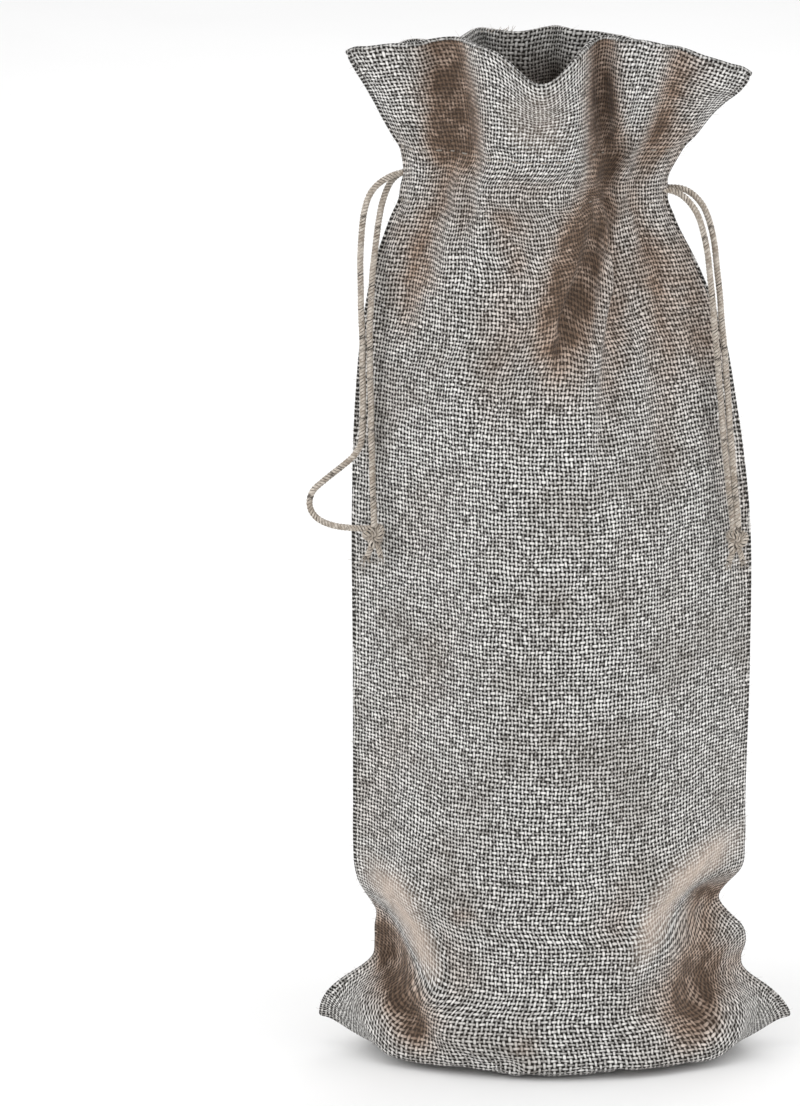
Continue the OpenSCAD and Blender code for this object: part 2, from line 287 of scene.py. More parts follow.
def hold_weight(t, u):
    """How firmly the settling cloth is held at the cut height t and the place u across the panel."""
    z = standing_height(t)
    if CASING_LOW + 2.0 <= z <= CASING_HIGH - 2.0:
        weight = HOLD_CASING
    elif z > CASING_HIGH - 2.0:
        weight = HOLD_HEADER
    else:
        weight = 0.15 * float(smooth((z - 205.0) / 54.0))
    if abs(u) > 0.999:
        weight = max(weight, HOLD_SEAM)
    foot = HOLD_FOOT * float(smooth((64.0 - z) / 40.0))
    return max(weight, foot)


def linked_object(name, data):
    """A new object in the scene."""
    obj = bpy.data.objects.new(name, data)
    bpy.context.scene.collection.objects.link(obj)
    return obj


def mesh_object(name, verts, faces):
    """A new mesh object in the scene, from points in metres."""
    mesh = bpy.data.meshes.new(name)
    mesh.from_pydata([tuple(v) for v in verts], [], [tuple(int(i) for i in f) for f in faces])
    return linked_object(name, mesh)


def collider(name, verts, faces, thickness, friction):
    """A stand-in that the settling cloth rests on."""
    obj = mesh_object(name, verts, faces)
    obj.modifiers.new("Collision", "COLLISION")
    obj.collision.thickness_outer = thickness
    obj.collision.thickness_inner = 0.003
    obj.collision.cloth_friction = friction
    return obj


def settle(panels, widths):
    """Lets the sewn cloth sag and buckle round a bottle, and returns both panels as they come to rest."""
    index = np.zeros((2, ROWS + 1, COLUMNS + 1), int)
    verts, flat, weights = [], [], []
    for s, side in enumerate((FRONT, BACK)):
        for j, t in enumerate(row_heights()):
            z = standing_height(t)
            row = widths[s][j]
            full = max(row, min(cut_width(), row * 1.10))
            cut = row + (full - row) * float(smooth((z - 190.0) / 40.0) + smooth((50.0 - z) / 30.0))
            for i in range(COLUMNS + 1):
                if s == 1 and (i in (0, COLUMNS) or j == 0):
                    index[1, j, i] = index[0, j, i]
                    continue
                u = -1.0 + 2.0 * i / COLUMNS
                index[s, j, i] = len(verts)
                verts.append(panels[s][j, i] * MM)
                flat.append((cut / 2 * u * MM, side * 0.0003, t * MM))
                weights.append(hold_weight(t, u))
    faces = []
    for s in (0, 1):
        numbers = index[s].ravel()
        for face in grid_faces(ROWS + 1, COLUMNS + 1, s == 1):
            faces.append([numbers[v] for v in face])
    cloth = mesh_object("settling_cloth", verts, faces)
    cloth.shape_key_add(name="Basis")
    cut_key = cloth.shape_key_add(name="Cut")
    cut_key.data.foreach_set("co", np.array(flat).ravel())
    cut_key.value = 0.0
    held = cloth.vertex_groups.new(name="Held")
    for v, weight in enumerate(weights):
        if weight > 0.001:
            held.add([v], weight, "REPLACE")

    ring = 64
    angles = [2.0 * math.pi * a / ring for a in range(ring)]
    lathe = [(r * math.cos(a) * MM + BOTTLE_X, r * math.sin(a) * MM, z * MM)
             for r, z in BOTTLE for a in angles]
    sides = [(k * ring + a, k * ring + (a + 1) % ring, (k + 1) * ring + (a + 1) % ring, (k + 1) * ring + a)
             for k in range(len(BOTTLE) - 1) for a in range(ring)]
    bottle = collider("settling_bottle", lathe, sides, 0.0008, 8.0)
    ground = collider("settling_ground", [(-0.3, -0.3, 0), (0.3, -0.3, 0), (0.3, 0.3, 0), (-0.3, 0.3, 0)],
                      [(0, 1, 2, 3)], 0.0006, 10.0)

    modifier = cloth.modifiers.new("Cloth", "CLOTH")
    jute = modifier.settings
    jute.quality = 5
    jute.mass = 0.0003
    jute.tension_stiffness = jute.compression_stiffness = 40.0
    jute.shear_stiffness = 5.0
    jute.bending_model = "ANGULAR"
    jute.bending_stiffness = 0.5
    jute.tension_damping = jute.compression_damping = jute.shear_damping = 10.0
    jute.air_damping = 2.0
    jute.rest_shape_key = cut_key
    jute.vertex_group_mass = "Held"
    jute.pin_stiffness = 1.0
    modifier.collision_settings.distance_min = 0.0008
    modifier.collision_settings.collision_quality = 3
    modifier.collision_settings.use_self_collision = False
    modifier.point_cache.frame_end = SETTLE_FRAMES
    for step in range(1, SETTLE_FRAMES + 1):
        bpy.context.scene.frame_set(step)
    evaluated = cloth.evaluated_get(bpy.context.evaluated_depsgraph_get())
    points = np.empty(len(verts) * 3)
    evaluated.data.vertices.foreach_get("co", points)
    points = points.reshape(-1, 3) / MM
    points[:, 2] = np.maximum(points[:, 2], FLOOR_GAP)
    bpy.context.scene.frame_set(1)
    for obj in (cloth, bottle, ground):
        data = obj.data
        bpy.data.objects.remove(obj)
        bpy.data.meshes.remove(data)
    return [points[index[s]] for s in (0, 1)]


# ---------------------------------------------------------------- meshes

def add_object(name, shape, body, slot, replaces=(), shade=None):
    """A new smooth mesh piece in metres, riding on its body, with the finish of its slot.

    Its shape is its points, faces and places on the cloth or along the thread, in millimetres."""
    verts, faces, places = shape
    obj = mesh_object(name, verts * MM, faces)
    mesh = obj.data
    mesh.polygons.foreach_set("use_smooth", [True] * len(mesh.polygons))
    layer = mesh.uv_layers.new(name="weave")
    loops = np.empty(len(mesh.loops), int)
    mesh.loops.foreach_get("vertex_index", loops)
    layer.data.foreach_set("uv", (places[loops] * MM).ravel())
    if shade is not None:
        attribute = mesh.attributes.new("fold_shade", "FLOAT", "POINT")
        attribute.data.foreach_set("value", np.asarray(shade, float).ravel())
    mesh.update()
    mesh.materials.append(bag_material(slot))
    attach(obj, body)
    if replaces:
        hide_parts(*replaces)
    return obj


def grid_faces(rows, columns, flip=False):
    """Faces of a grid of points, row by row."""
    faces = []
    for j in range(rows - 1):
        for i in range(columns - 1):
            a = j * columns + i
            quad = (a, a + 1, a + columns + 1, a + columns)
            faces.append(quad[::-1] if flip else quad)
    return faces


def grid_normals(grid, side):
    """Outward unit normals of a panel's grid of points."""
    across = np.gradient(grid, axis=1)
    up = np.gradient(grid, axis=0)
    normal = np.cross(across, up) * -side
    return normal / np.maximum(np.linalg.norm(normal, axis=2, keepdims=True), 1e-9)


def blurred(grid, passes):
    """The grid with each point drawn to the middle of its neighbours, a number of times."""
    out = grid.copy()
    for _ in range(passes):
        padded = np.pad(out, ((1, 1), (1, 1), (0, 0)), mode="edge")
        out = (padded[:-2, 1:-1] + padded[2:, 1:-1] + padded[1:-1, :-2] + padded[1:-1, 2:]) / 4.0
    return out


def fold_shade(grid, side):
    """From 0 on the crests of the cloth to 1 deep in its folds."""
    normal = grid_normals(blurred(grid, 2), side)
    hollow = ((blurred(grid, 14) - grid) * normal).sum(axis=2)
    return np.clip(hollow / 2.2, 0.0, 1.0)


def transported_frames(path):
    """Tangents and two cross axes along a path, turned no more than the path turns."""
    tangents = np.gradient(path, axis=0)
    tangents /= np.linalg.norm(tangents, axis=1, keepdims=True)
    start = np.array([0.0, 1.0, 0.0]) if abs(tangents[0][1]) < 0.8 else np.array([1.0, 0.0, 0.0])
    axis = np.cross(tangents[0], start)
    first = []
    for tangent in tangents:
        axis = axis - tangent * (axis @ tangent)
        axis = axis / np.linalg.norm(axis)
        first.append(axis)
    first = np.array(first)
    return tangents, first, np.cross(tangents, first)


# The painted groove shade darkens a tube's sides that lie far round from its outermost line.
PLAIN_TURN = 0.15  # share of its angle that a plain thread keeps, so that it stays out of a groove


def tube(path, radius, sides=8, middle_line=None):
    """A closed tube along a path: points, faces and (along, around) places in millimetres.

    Round a ply that winds round a middle line, the second place is the angle from its outermost line."""
    path = np.asarray(path, float)
    radius = np.broadcast_to(np.asarray(radius, float), (len(path),))
    _, first, second = transported_frames(path)
    angles = np.linspace(0.0, 2.0 * math.pi, sides, endpoint=False)
    rings = path[:, None, :] + radius[:, None, None] * (
        np.cos(angles)[None, :, None] * first[:, None, :]
        + np.sin(angles)[None, :, None] * second[:, None, :])
    verts = rings.reshape(-1, 3)
    travel = travelled(path)
    if middle_line is None:
        around = np.tile(angles * PLAIN_TURN, len(path))
    else:
        outward = path - middle_line
        outward /= np.maximum(np.linalg.norm(outward, axis=1, keepdims=True), 1e-6)
        across = (rings - path[:, None, :]) / radius[:, None, None]
        around = np.arccos(np.clip((across * outward[:, None, :]).sum(axis=2), -1.0, 1.0)).ravel()
    places = np.stack([np.repeat(travel, sides), around], axis=1)
    faces = []
    for k in range(len(path) - 1):
        for a in range(sides):
            b = (a + 1) % sides
            faces.append((k * sides + a, k * sides + b, (k + 1) * sides + b, (k + 1) * sides + a))
    faces.append(tuple(range(sides))[::-1])
    faces.append(tuple((len(path) - 1) * sides + a for a in range(sides)))
    return verts, faces, places


def joined(parts):
    """Several shapes as one."""
    verts, faces, places, base = [], [], [], 0
    for v, f, p in parts:
        verts.append(v)
        places.append(p)
        faces.extend(tuple(i + base for i in face) for face in f)
        base += len(v)
    return np.concatenate(verts), faces, np.concatenate(places)


PLIES = 3
PLY_SHARE = 0.255  # radius of a ply, and of its winding, as a share of the twine's width


def plied(path, width, twist=3.0, spacing=0.35, sides=7, phase=0.0):
    """A twisted twine along a path: each ply winds round the middle once in every twist millimetres."""
    path = respaced(np.asarray(path, float), spacing)
    _, first, second = transported_frames(path)
    travel = travelled(path)
    ply_radius = width * PLY_SHARE
    parts = []
    for k in range(PLIES):
        turn = 2.0 * math.pi * (travel / twist + k / PLIES) + phase
        middle = path + ply_radius * (np.cos(turn)[:, None] * first + np.sin(turn)[:, None] * second)
        uneven = ply_radius * (1.0 + 0.10 * np.sin(travel * 1.7 + 2.1 * k + phase))
        parts.append(tube(middle, uneven, sides, path))
    return joined(parts)


def hairs(rng, roots, directions, length, radius):
    """Fine loose fibres that stand off from the given roots."""
    parts = []
    for root, direction in zip(roots, directions):
        direction = np.asarray(direction, float) + rng.normal(0.0, 0.45, 3)
        direction /= np.linalg.norm(direction)
        bend = rng.normal(0.0, 0.35, 3)
        reach = length * rng.uniform(0.4, 1.0)
        steps = np.linspace(0.0, 1.0, 5)[:, None]
        path = root + direction * reach * steps + bend * reach * steps**2
        parts.append(tube(path, radius * (1.0 - 0.6 * steps[:, 0]), 3))
    return joined(parts)


def catmull(route, steps):
    """Points along a smooth curve through a route, a few steps between each two of its points."""
    route = np.array(route, float)
    out = []
    last = len(route) - 1
    for k in range(last):
        a, b, c, d = route[max(0, k - 1)], route[k], route[k + 1], route[min(last, k + 2)]
        for s in range(steps):
            t = s / steps
            out.append(0.5 * (2 * b + (c - a) * t + (2 * a - 5 * b + 4 * c - d) * t**2
                              + (3 * b - a - 3 * c + d) * t**3))
    out.append(route[-1])
    return np.array(out)


# ---------------------------------------------------------------- shader groups and materials

class Wiring:
    """Short ways to add and join nodes in one node tree."""

    def __init__(self, tree):
        self.tree = tree

    def node(self, kind, **settings):
        """A new node with its settings."""
        node = self.tree.nodes.new(kind)
        for name, value in settings.items():
            setattr(node, name, value)
        return node

    def feed(self, socket, value):
        """Joins another node's output to a socket, or sets its value."""
        if isinstance(value, bpy.types.NodeSocket):
            self.tree.links.new(value, socket)
        else:
            socket.default_value = value

    def feed_all(self, node, values, outlet=0):
        """Feeds a node's first sockets in order, and gives one of its outputs."""
        for socket, value in zip(node.inputs, values):
            self.feed(socket, value)
        return node.outputs[outlet]

    def math(self, operation, *values, clamp=False):
        """The result of one operation on numbers."""
        return self.feed_all(self.node("ShaderNodeMath", operation=operation, use_clamp=clamp), values)

    def times(self, a, b, clamp=False):
        """The product of two numbers."""
        return self.math("MULTIPLY", a, b, clamp=clamp)

    def plus(self, a, b):
        """The sum of two numbers."""
        return self.math("ADD", a, b)

    def minus(self, a, b):
        """The first number less the second."""
        return self.math("SUBTRACT", a, b)

    def between(self, factor, low, high):
        """A number that runs from low to high with the factor."""
        node = self.node("ShaderNodeMix", data_type="FLOAT")
        for place, value in ((0, factor), (2, low), (3, high)):
            self.feed(node.inputs[place], value)
        return node.outputs[0]

    def ramp(self, value, low, high, out_low=0.0, out_high=1.0):
        """A soft step as the value goes from low to high."""
        node = self.node("ShaderNodeMapRange", interpolation_type="SMOOTHSTEP")
        return self.feed_all(node, (value, low, high, out_low, out_high))

    def colour(self, factor, low, high, blend="MIX"):
        """A colour that runs from low to high with the factor."""
        node = self.node("ShaderNodeMix", data_type="RGBA", blend_type=blend)
        for place, value in ((0, factor), (6, low), (7, high)):
            self.feed(node.inputs[place], value)
        return node.outputs[2]

    def place(self, x, y, z=0.0):
        """A vector of three numbers."""
        return self.feed_all(self.node("ShaderNodeCombineXYZ"), (x, y, z))

    def noise(self, vector, scale, detail=2.0):
        """Cloudy noise round a half."""
        node = self.node("ShaderNodeTexNoise")
        for name, value in (("Vector", vector), ("Scale", scale), ("Detail", detail)):
            self.feed(node.inputs[name], value)
        return node.outputs["Fac"]

    def bump(self, shader, height, strength, distance):
        """Gives a shader's surface fine relief; the distance is in metres."""
        node = self.node("ShaderNodeBump")
        for name, value in (("Height", height), ("Strength", strength), ("Distance", distance)):
            self.feed(node.inputs[name], value)
        self.feed(shader.inputs["Normal"], node.outputs[0])


def new_group(name, inputs, outputs):
    """A shader node group with its named sockets, and its input and output nodes."""
    group = bpy.data.node_groups.new(name, "ShaderNodeTree")
    for socket, kind, default in inputs:
        made = group.interface.new_socket(name=socket, in_out="INPUT", socket_type=kind)
        if default is not None:
            made.default_value = default
    for socket, kind in outputs:
        group.interface.new_socket(name=socket, in_out="OUTPUT", socket_type=kind)
    return group, group.nodes.new("NodeGroupInput"), group.nodes.new("NodeGroupOutput")


def plain_weave_group():
    """Plain weave of uneven spun threads: height, tone of the thread on top, and gaps between threads."""
    name = "Plain weave"
    if name in bpy.data.node_groups:
        return bpy.data.node_groups[name]
    group, given, out = new_group(
        name,
        [("Vector", "NodeSocketVector", None), ("Across", "NodeSocketFloat", 0.0013),
         ("Up", "NodeSocketFloat", 0.0014), ("Unevenness", "NodeSocketFloat", 1.0)],
        [("Height", "NodeSocketFloat"), ("Tone", "NodeSocketFloat"), ("Gap", "NodeSocketFloat")])
    w = Wiring(group)
    split = w.node("ShaderNodeSeparateXYZ")
    w.feed(split.inputs[0], given.outputs["Vector"])
    uneven = given.outputs["Unevenness"]
    sway_x = w.times(w.minus(w.noise(given.outputs["Vector"], 110.0), 0.5), 1.5)
    shift = w.node("ShaderNodeVectorMath", operation="ADD")
    shifted = w.feed_all(shift, (given.outputs["Vector"], (3.7, 1.9, 0.0)))
    sway_y = w.times(w.minus(w.noise(shifted, 110.0), 0.5), 1.5)
    x = w.plus(w.math("DIVIDE", split.outputs[0], given.outputs["Across"]), w.times(sway_x, uneven))
    y = w.plus(w.math("DIVIDE", split.outputs[1], given.outputs["Up"]), w.times(sway_y, uneven))
    ix, iy = w.math("FLOOR", x), w.math("FLOOR", y)
    fx = w.minus(w.math("FRACT", x), 0.5)
    fy = w.minus(w.math("FRACT", y), 0.5)
    parity = w.math("FLOORED_MODULO", w.plus(ix, iy), 2.0)
    sign = w.minus(1.0, w.times(parity, 2.0))
    along_x = w.times(split.outputs[0], 380.0)
    along_y = w.times(split.outputs[1], 380.0)
    warp_noise = w.noise(w.place(w.times(ix, 7.31), along_y), 1.0, 3.0)
    weft_noise = w.noise(w.place(along_x, w.times(iy, 5.17), 4.0), 1.0, 3.0)

    def thread_half(mean, noise):
        """Half of a thread's uneven width, as a share of the spacing."""
        return w.plus(mean, w.times(w.times(w.minus(noise, 0.5), 0.30), uneven))

    def crown(offset, half):
        """Height of a round thread, from its middle out to half of its width."""
        share = w.math("DIVIDE", offset, half)
        return w.math("SQRT", w.math("MAXIMUM", 0.0, w.minus(1.0, w.times(share, share))))

    warp_crown = crown(fx, thread_half(0.245, warp_noise))
    weft_crown = crown(fy, thread_half(0.26, weft_noise))
    warp_wave = w.times(sign, w.math("COSINE", w.times(fy, math.pi)))
    weft_wave = w.times(sign, w.math("COSINE", w.times(fx, math.pi)))
    warp_height = w.plus(w.times(warp_crown, 0.65), w.times(warp_wave, 0.35))
    weft_height = w.minus(w.times(weft_crown, 0.65), w.times(weft_wave, 0.35))
    warp_there = w.math("GREATER_THAN", warp_crown, 0.001)
    weft_there = w.math("GREATER_THAN", weft_crown, 0.001)
    warp_top = w.minus(w.times(w.plus(warp_height, 1.0), warp_there), 1.0)
    weft_top = w.minus(w.times(w.plus(weft_height, 1.0), weft_there), 1.0)
    w.feed(out.inputs["Height"], w.times(w.plus(w.math("MAXIMUM", warp_top, weft_top), 1.0), 0.5))
    over = w.math("GREATER_THAN", warp_top, weft_top)
    w.feed(out.inputs["Tone"], w.between(over, weft_noise, warp_noise))
    w.feed(out.inputs["Gap"], w.ramp(w.math("MAXIMUM", warp_crown, weft_crown), 0.08, 0.62, 1.0, 0.0))
    return group


def spun_fibre_group():
    """Twisted fibres of a twine or thread: height, tone, dark flecks and the painted shade in the grooves
    between its plies.
    """
    name = "Spun fibres"
    if name in bpy.data.node_groups:
        return bpy.data.node_groups[name]
    group, given, out = new_group(
        name,
        [("Vector", "NodeSocketVector", None), ("Turns per metre", "NodeSocketFloat", 260.0)],
        [("Height", "NodeSocketFloat"), ("Tone", "NodeSocketFloat"), ("Flecks", "NodeSocketFloat"),
         ("Groove shade", "NodeSocketFloat")])
    w = Wiring(group)
    split = w.node("ShaderNodeSeparateXYZ")
    w.feed(split.inputs[0], given.outputs["Vector"])
    along, around = split.outputs[0], split.outputs[1]
    lean = w.plus(w.times(along, given.outputs["Turns per metre"]), w.times(around, 160.0))
    strand = w.noise(w.place(w.times(lean, 5.0), w.times(along, 90.0)), 1.0, 3.0)
    patch = w.noise(w.place(w.times(along, 330.0), w.times(around, 700.0)), 1.0, 3.0)
    w.feed(out.inputs["Height"], strand)
    w.feed(out.inputs["Tone"], w.between(0.5, strand, patch))
    w.feed(out.inputs["Flecks"], w.ramp(patch, 0.56, 0.68))
    w.feed(out.inputs["Groove shade"], w.ramp(around, 0.0007, 0.0012))
    return group


def material_base(name, roughness):
    """A new material of little gloss, with its wiring and its shader."""
    material = bpy.data.materials.new(name)
    material.use_nodes = True
    tree = material.node_tree
    shader = tree.nodes["Principled BSDF"]
    shader.inputs["Roughness"].default_value = roughness
    shader.inputs["Specular IOR Level"].default_value = 0.25
    return material, Wiring(tree), shader


def rgba(colour, share=1.0):
    """A share of a colour, as an opaque one."""
    return (*(c * share for c in colour), 1.0)


# Painted highlight: the pale colour given to the cloth's ridges.
PAINTED_RIDGE_HIGHLIGHT = (0.62, 0.50, 0.415)  # colour of the cloth where its shade is below nought


def cloth_material(name, thread, light, depth_share=1.0):
    """Woven cloth: pale and dark threads, gaps painted near black as painted shade, painted shade on the
    threads' sides, painted shade, browner and darker, in the depth of its folds, and painted highlight on its
    ridges.
    """
    gap, deep = colours().gap, colours().painted_fold_shade
    material, w, shader = material_base(name, 0.86)
    where = w.node("ShaderNodeUVMap", uv_map="weave").outputs[0]
    weave = w.node("ShaderNodeGroup", node_tree=plain_weave_group())
    across, up = sizes().thread_across, sizes().thread_up
    for socket, value in (("Vector", where), ("Across", across), ("Up", up), ("Unevenness", 1.0)):
        w.feed(weave.inputs[socket], value)
    tone = w.ramp(weave.outputs["Tone"], 0.24, 0.66)
    # Painted shade: the threads' sides and the threads lying under are darkened with the weave's height.
    crown = w.ramp(weave.outputs["Height"], 0.60, 0.93)
    thread_colour = w.colour(tone, rgba(thread), rgba(light))
    crown_shaded = w.colour(crown, rgba(thread, 0.05), thread_colour)
    fibre = w.noise(where, 2600.0, 2.0)
    fibred = w.colour(w.ramp(fibre, 0.4, 0.75, 0.0, 0.22), crown_shaded, rgba(light))
    cloudy = w.ramp(w.noise(where, 34.0, 3.0), 0.46, 0.68, 0.0, 0.30)
    tinted = w.colour(cloudy, fibred, rgba([thread[0] * 1.02, thread[1] * 0.90, thread[2] * 0.78]))
    # Painted shade: the gaps between the threads are painted near black, for the shaded inside of the bag seen
    # through them.
    holed = w.colour(weave.outputs["Gap"], tinted, rgba(gap))
    # Painted shade in the folds and creases, browned and darkened in patches.
    shade = w.node("ShaderNodeAttribute", attribute_name="fold_shade").outputs["Fac"]
    patches = w.ramp(w.noise(where, 150.0, 4.0), 0.30, 0.68, 0.68, 1.08)
    amount = w.times(w.times(shade, patches), depth_share, clamp=True)
    shade_warmed = w.colour(amount, holed, w.colour(1.0, holed, rgba(deep), "MULTIPLY"))
    shade_browned = w.colour(w.times(amount, 0.42), shade_warmed, rgba(deep, 0.21))
    shade_darkened = w.colour(w.ramp(amount, 0.66, 1.0, 0.0, 0.62), shade_browned, rgba(deep, 0.06))
    # Painted highlight: paler on the ridges, where fold_shade is below nought.
    painted_highlight = w.times(w.times(shade, -0.72), patches, clamp=True)
    w.feed(shader.inputs["Base Color"], w.colour(painted_highlight, shade_darkened, rgba(PAINTED_RIDGE_HIGHLIGHT)))
    w.feed(shader.inputs["Roughness"], w.between(tone, 0.92, 0.80))
    w.bump(shader, w.plus(weave.outputs["Height"], w.times(fibre, 0.12)), 0.9, 0.0005)
    shader.inputs["Sheen Weight"].default_value = 0.12
    shader.inputs["Sheen Roughness"].default_value = 0.5
    return material


def spun_material(name, base, dark, light, turns, roughness=0.8, bump_size=0.00025):
    """Twine or thread of spun fibres."""
    material, w, shader = material_base(name, roughness)
    fibres = w.node("ShaderNodeGroup", node_tree=spun_fibre_group())
    w.feed(fibres.inputs["Vector"], w.node("ShaderNodeUVMap", uv_map="weave").outputs[0])
    w.feed(fibres.inputs["Turns per metre"], turns)
    toned = w.colour(w.ramp(fibres.outputs["Tone"], 0.36, 0.64), rgba(base), rgba(light))
    flecked = w.colour(fibres.outputs["Flecks"], toned, rgba(dark))
    # Painted shade in the grooves between the plies.
    groove_shaded = w.colour(fibres.outputs["Groove shade"], flecked, rgba(dark, 0.12))
    w.feed(shader.inputs["Base Color"], groove_shaded)
    w.feed(shader.inputs["Roughness"], w.between(fibres.outputs["Tone"], roughness + 0.1, roughness - 0.08))
    w.bump(shader, fibres.outputs["Height"], 0.8, bump_size)
    shader.inputs["Sheen Weight"].default_value = 0.15
    return material


def backdrop_material(colour):
    """Matt painted studio sweep with a faint mottle."""
    material, w, shader = material_base("studio_sweep", 0.9)
    mottle = w.ramp(w.noise(w.node("ShaderNodeTexCoord").outputs["Object"], 9.0, 4.0), 0.3, 0.7)
    w.feed(shader.inputs["Base Color"], w.colour(mottle, rgba(colour, 0.985), rgba(colour)))
    return material


# ---------------------------------------------------------------- sizes and colours

def length_property(name, description, default, low, high):
    """A length in metres."""
    return FloatProperty(name=name, description=description, default=default,
                         min=low, max=high, unit="LENGTH")


def colour_property(name, description, default):
    """A colour of red, green and blue."""
    return FloatVectorProperty(name=name, description=description, default=default,
                               subtype="COLOR", size=3, min=0.0, max=1.0)


class GIFTBAG_PG_sizes(bpy.types.PropertyGroup):
    """Sizes a maker would change"""

    cut_width: length_property("Cut width", "Width of the bag laid flat", 0.150, 0.1, 0.2)
    cut_height: length_property("Cut height", "Height of the bag laid flat", 0.350, 0.3, 0.4)
    cloth_thickness: length_property("Cloth thickness", "Thickness of one layer of cloth",
                                     0.0009, 0.0005, 0.0015)
    thread_across: length_property("Warp spacing", "From one upright thread to the next",
                                   0.00128, 0.0006, 0.003)
    thread_up: length_property("Weft spacing", "From one level thread to the next", 0.00140, 0.0006, 0.003)
    twine_diameter: length_property("Twine diameter", "Diameter of the drawstrings", 0.002, 0.001, 0.003)
    stitch_length: length_property("Stitch length", "Length of one stitch of the seams",
                                   0.0032, 0.002, 0.005)


class GIFTBAG_PG_colours(bpy.types.PropertyGroup):
    """Colours of the cloth, strings and stage"""

    thread: colour_property("Cloth thread", "Main colour of the cloth's threads", (0.185, 0.175, 0.162))
    thread_light: colour_property("Pale fibres", "Colour of the palest threads", (0.85, 0.835, 0.81))
    # Painted shade: the near black that fills the gaps between the threads.
    gap: colour_property("Gaps", "Colour in the gaps between the threads", (0.008, 0.006, 0.004))
    # Painted shade: the colour that the cloth is browned and darkened towards in its folds and creases.
    painted_fold_shade: colour_property("Fold tint", "Tint that deepens in the folds", (0.76, 0.51, 0.36))
    twine: colour_property("Twine", "Main colour of the drawstrings", (0.30, 0.25, 0.20))
    twine_light: colour_property("Pale twine", "Colour of the palest twine fibres", (0.66, 0.60, 0.53))
    sewing: colour_property("Sewing thread", "Colour of the sewing thread", (0.27, 0.245, 0.215))
    sweep: colour_property("Stage", "Colour of the floor and backdrop", (0.95, 0.95, 0.95))


def sizes():
    """The bag's sizes, in metres."""
    return bpy.context.scene.gift_bag_sizes


def colours():
    """The colours of the bag and its stage."""
    return bpy.context.scene.gift_bag_colours


def shares(colour, share):
    """A colour with each of its parts made larger or smaller."""
    return [c * share for c in colour]


def bag_material(slot):
    """The finish of a slot, made the first time that it is asked for."""
    name = f"{slot}_finish"
    if name in bpy.data.materials:
        return bpy.data.materials[name]
    c = colours()
    if slot == "bag_cloth":
        return cloth_material(name, c.thread, c.thread_light)
    if slot in ("facing_cloth", "seam_edges"):
        # Painted shade: the pieces inside the bag get a darker copy of the cloth, with less of the fold shade.
        return cloth_material(name, shares(c.thread, 0.82), shares(c.thread_light, 0.8), 0.6)
    if slot == "twine":
        return spun_material(name, c.twine, shares(c.twine, 0.3), c.twine_light, 300.0)
    if slot == "sewing_thread":
        dark, light = shares(c.sewing, 0.6), shares(c.sewing, 1.35)
        return spun_material(name, c.sewing, dark, light, 900.0, 0.7, 0.0001)
    raise ValueError(f"no material is called {slot}")


# ---------------------------------------------------------------- the cloth that the pieces share

CLOTH = {}


def panel_points():
    """Both panels' grids of points in millimetres, settled once and kept for the pieces that follow them."""
    if not CLOTH:
        panels, widths = drawn_panels()
        panels = settle(panels, widths)
        CLOTH.update(zip((FRONT, BACK), panels))
    return CLOTH


def cloth_places(across, up):
    """Each grid point's place on the flat cloth, from the places of the grid's columns and rows."""
    return np.stack(np.meshgrid(across, up), axis=2).reshape(-1, 2)


def on_panel(side, t, column):
    """Points of a panel at cut heights t and places across given in columns, with the outward normals."""
    grid = panel_points()[side]
    normal = grid_normals(grid, side)
    row = np.clip(np.asarray(t, float) * ROWS / cut_height(), 0, ROWS - 1e-6)
    column = np.clip(np.asarray(column, float), 0, COLUMNS - 1e-6)
    j, i = row.astype(int), column.astype(int)
    a, b = (row - j)[..., None], (column - i)[..., None]

    def read(values):
        return ((values[j, i] * (1 - b) + values[j, i + 1] * b) * (1 - a)
                + (values[j + 1, i] * (1 - b) + values[j + 1, i + 1] * b) * a)

    normals = read(normal)
    return read(grid), normals / np.linalg.norm(normals, axis=-1, keepdims=True)


# ---------------------------------------------------------------- strings

# Routes of the free ends in millimetres, from inside the slit to the knot.
ROUTES = {
    "left_front_tail": [
        (-26, -1.3, 270.5), (-36, -1.3, 270.5), (-45.5, -1.3, 270.5), (-51, -2, 268.8), (-55.2, -3, 265.2),
        (-57.4, -4, 259), (-58.4, -5, 250), (-58.5, -6.5, 236), (-58, -7.5, 220), (-57.9, -8, 204),
        (-58.1, -9, 192), (-60, -10, 187), (-64, -11, 183.3), (-69, -12, 179.6), (-72.8, -12.5, 176),
        (-73.6, -13, 171.6), (-71.4, -13.5, 168), (-67, -14, 166), (-61, -14, 165.2), (-55, -14, 165)],
    "left_back_tail": [
        (-26, 1.3, 270.5), (-36, 1.3, 270.5), (-44.5, 1.3, 270.5), (-49, 0.5, 268), (-51.6, -1, 263),
        (-53, -2.5, 256.5), (-54.2, -4.5, 248), (-55.2, -6.5, 237), (-55.8, -8, 221), (-55.5, -9, 204),
        (-55.2, -10.5, 188), (-54.8, -12.5, 174), (-54.5, -14, 165)],
    "right_front_tail": [
        (13, -1.3, 265.5), (23, -1.3, 265.5), (31, -1.3, 265.5), (35.8, -2.2, 264.4), (39.6, -3, 261),
        (42.2, -4, 256.4), (44, -5.5, 249), (45.3, -7, 239), (46.4, -8.5, 227), (47.8, -9.5, 211),
        (49.3, -11, 193), (51.2, -12.5, 175), (52.4, -14, 164)],
    "right_back_tail": [
        (13, 1.3, 265.5), (23, 1.3, 265.5), (31.5, 1.3, 265.5), (37, 0.6, 265.2), (41.2, -0.4, 262.6),
        (44.2, -1.6, 258.2), (46.2, -3, 250.5), (47.5, -5, 240), (48.7, -7, 227), (50.1, -8.6, 211),
        (51.4, -10.6, 193), (53, -12.5, 175), (54, -14, 164)],
}
KNOTS = {"left": (-54.5, -14.0, 162.8), "right": (53.2, -14.0, 161.4)}
STRING_HEIGHTS = {"left": 270.5, "right": 265.5}
FIBRES_PER_END = 30


